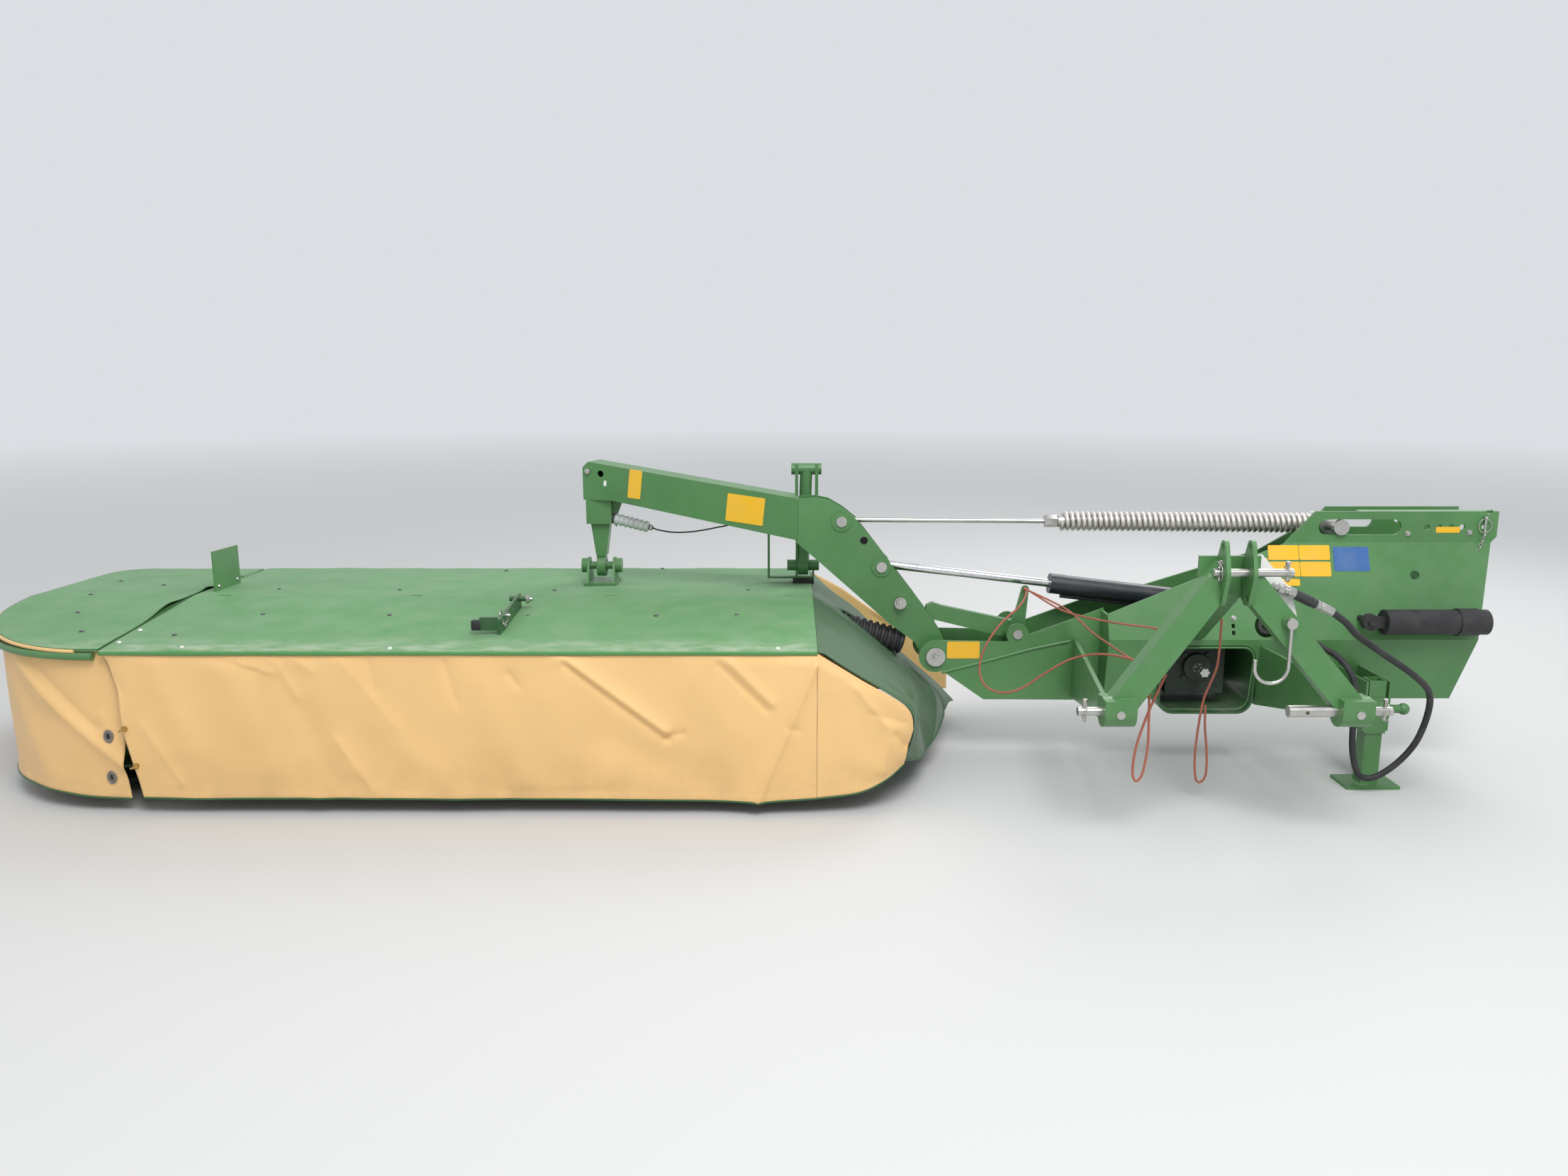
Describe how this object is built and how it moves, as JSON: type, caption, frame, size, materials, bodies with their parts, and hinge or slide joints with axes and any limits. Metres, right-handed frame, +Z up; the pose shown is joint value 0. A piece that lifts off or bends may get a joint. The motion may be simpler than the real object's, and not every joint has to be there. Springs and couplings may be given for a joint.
{
  "type": "rear-mounted disc mower",
  "caption": "Side-mounted disc mower: three-point headstock, folded carrying arm, covered cutter bar with rotating discs, hinged guards, lift cylinder, relief spring and parking stand.",
  "frame": {"origin": "centre of the bounding box in plan, at the ground", "axes": "+Z up; the mower bar runs along X with its free end towards -X and the hitch frame towards +X; the tractor stands on the -Y side"},
  "size_m": [5.542, 1.601, 1.112],
  "materials": {
    "green_paint": "semi-gloss green machine paint, dusty",
    "dark_green_paint": "green paint in shade, dusty",
    "steel": "zinc plated or bare steel",
    "chrome_rod": "polished cylinder rod",
    "black_paint": "black paint",
    "rubber": "black rubber",
    "curtain": "orange-cream coated guard cloth",
    "rope": "brown-red braided cord",
    "white_plate": "white paint",
    "cast": "dark painted casting"
  },
  "bodies": {
    "frame": {"headstock": "green_paint", "top_link_bracket": "green_paint", "lower_link_pins": "steel", "top_link_pin": "steel", "front_plate": "green_paint", "rear_plate": "green_paint", "frame_webs": "dark_green_paint", "gearbox": "cast", "drive_shaft": "rubber", "pivot_pins": "steel", "stand_sleeve": "green_paint", "hose_holder": "white_plate", "hose_hook": "steel", "buffer_cylinder": "rubber", "hydraulic_hose": "rubber", "hose_coupling": "steel", "trip_rope": "rope", "spare_rope": "rope"},
    "input_shaft": {"input_shaft": "steel"},
    "lock_hook": {"lock_hook": "green_paint"},
    "cylinder_barrel": {"cylinder_barrel": "black_paint"},
    "cylinder_rod": {"cylinder_rod": "chrome_rod"},
    "slot_pin": {"slot_pin": "steel"},
    "relief_spring": {"relief_spring": "steel"},
    "spring_rod": {"spring_rod": "steel"},
    "boom": {"gooseneck": "green_paint", "boom_pins": "steel", "carrying_arm": "green_paint", "arm_hanger": "green_paint", "stop_link": "green_paint", "stop_buffer": "rubber"},
    "mower": {"cutter_bar": "cast", "skids": "cast", "mower_frame": "green_paint", "drive_head": "cast", "drive_boot": "rubber", "ball_bracket": "green_paint", "rear_cover": "green_paint", "rear_curtain": "curtain", "end_apron": "green_paint", "end_curtain": "curtain"},
    "front_guard": {"front_flap": "green_paint", "front_curtain": "curtain", "flap_bracket": "dark_green_paint"},
    "side_guard": {"side_flap": "green_paint", "bow_tube": "green_paint", "side_curtain": "curtain"},
    "stand": {"stand_leg": "green_paint"},
    "rotor_1": {"rotor_1": "dark_green_paint"},
    "rotor_2": {"rotor_2": "cast"},
    "rotor_3": {"rotor_3": "cast"},
    "rotor_4": {"rotor_4": "cast"},
    "rotor_5": {"rotor_5": "cast"},
    "rotor_6": {"rotor_6": "dark_green_paint"}
  },
  "joints": [
    {"name": "boom_lift", "type": "hinge", "parent": "frame", "child": "boom", "pos_m": [0.683, 0.215, 0.395], "axis": [0, 1, 0], "range_deg": [-8, 90]},
    {"name": "mower_tilt", "type": "hinge", "parent": "boom", "child": "mower", "pos_m": [-0.628, 0.43, 0.691], "axis": [0, 1, 0], "range_deg": [0, 8]},
    {"name": "front_guard_hinge", "type": "hinge", "parent": "mower", "child": "front_guard", "pos_m": [-0.894, 0.14, 0.616], "axis": [-1, 0, 0], "range_deg": [0, 80]},
    {"name": "side_guard_hinge", "type": "hinge", "parent": "mower", "child": "side_guard", "pos_m": [-2.144, 0.415, 0.616], "axis": [0, 1, 0], "range_deg": [0, 85]},
    {"name": "rotor_1_spin", "type": "hinge", "parent": "mower", "child": "rotor_1", "pos_m": [-2.314, -0.16, 0.11], "axis": [0, 0, 1], "continuous": true},
    {"name": "rotor_2_spin", "type": "hinge", "parent": "mower", "child": "rotor_2", "pos_m": [-1.869, -0.16, 0.11], "axis": [0, 0, 1], "continuous": true},
    {"name": "rotor_3_spin", "type": "hinge", "parent": "mower", "child": "rotor_3", "pos_m": [-1.424, -0.16, 0.11], "axis": [0, 0, 1], "continuous": true},
    {"name": "rotor_4_spin", "type": "hinge", "parent": "mower", "child": "rotor_4", "pos_m": [-0.979, -0.16, 0.11], "axis": [0, 0, 1], "continuous": true},
    {"name": "rotor_5_spin", "type": "hinge", "parent": "mower", "child": "rotor_5", "pos_m": [-0.534, -0.16, 0.11], "axis": [0, 0, 1], "continuous": true},
    {"name": "rotor_6_spin", "type": "hinge", "parent": "mower", "child": "rotor_6", "pos_m": [-0.089, -0.16, 0.11], "axis": [0, 0, 1], "continuous": true},
    {"name": "input_shaft_spin", "type": "hinge", "parent": "frame", "child": "input_shaft", "pos_m": [1.667, 0.015, 0.365], "axis": [0, 1, 0], "continuous": true},
    {"name": "stand_slide", "type": "slide", "parent": "frame", "child": "stand", "axis": [0, 0, 1], "range_m": [0, 0.18]},
    {"name": "lock_hook_swing", "type": "hinge", "parent": "frame", "child": "lock_hook", "pos_m": [0.994, 0.215, 0.481], "axis": [0, 1, 0], "range_deg": [-7, 69]},
    {"name": "cylinder_swing", "type": "hinge", "parent": "frame", "child": "cylinder_barrel", "pos_m": [1.806, 0.235, 0.575], "axis": [0, 1, 0], "range_deg": [-6, 2]},
    {"name": "cylinder_stroke", "type": "slide", "parent": "cylinder_barrel", "child": "cylinder_rod", "axis": [0.9932, 0, -0.1166], "range_m": [-0.05, 0.552]},
    {"name": "slot_pin_slide", "type": "slide", "parent": "frame", "child": "slot_pin", "axis": [1, 0, 0], "range_m": [-0.02, 0.196]},
    {"name": "spring_swing", "type": "hinge", "parent": "slot_pin", "child": "relief_spring", "pos_m": [2.183, 0.215, 0.892], "axis": [0, 1, 0], "range_deg": [-8, 2]},
    {"name": "spring_rod_slide", "type": "slide", "parent": "relief_spring", "child": "spring_rod", "axis": [1, 0, -0.007], "range_m": [-0.06, 0.668]}
  ],
  "couplings": [
    {"joint": "rotor_2_spin", "follows": "rotor_1_spin", "ratio": -1},
    {"joint": "rotor_3_spin", "follows": "rotor_1_spin", "ratio": 1},
    {"joint": "rotor_4_spin", "follows": "rotor_1_spin", "ratio": -1},
    {"joint": "rotor_5_spin", "follows": "rotor_1_spin", "ratio": 1},
    {"joint": "rotor_6_spin", "follows": "rotor_1_spin", "ratio": -1},
    {"joint": "input_shaft_spin", "follows": "rotor_1_spin", "ratio": -0.33333},
    {"joint": "lock_hook_swing", "follows": "boom_lift", "ratio": 0.76},
    {"joint": "cylinder_swing", "follows": "boom_lift", "ratio": -0.053},
    {"joint": "cylinder_stroke", "follows": "boom_lift", "m_per_rad": 0.351},
    {"joint": "slot_pin_slide", "follows": "boom_lift", "m_per_rad": 0.124},
    {"joint": "spring_swing", "follows": "boom_lift", "ratio": -0.0777},
    {"joint": "spring_rod_slide", "follows": "boom_lift", "m_per_rad": 0.4246}
  ]
}
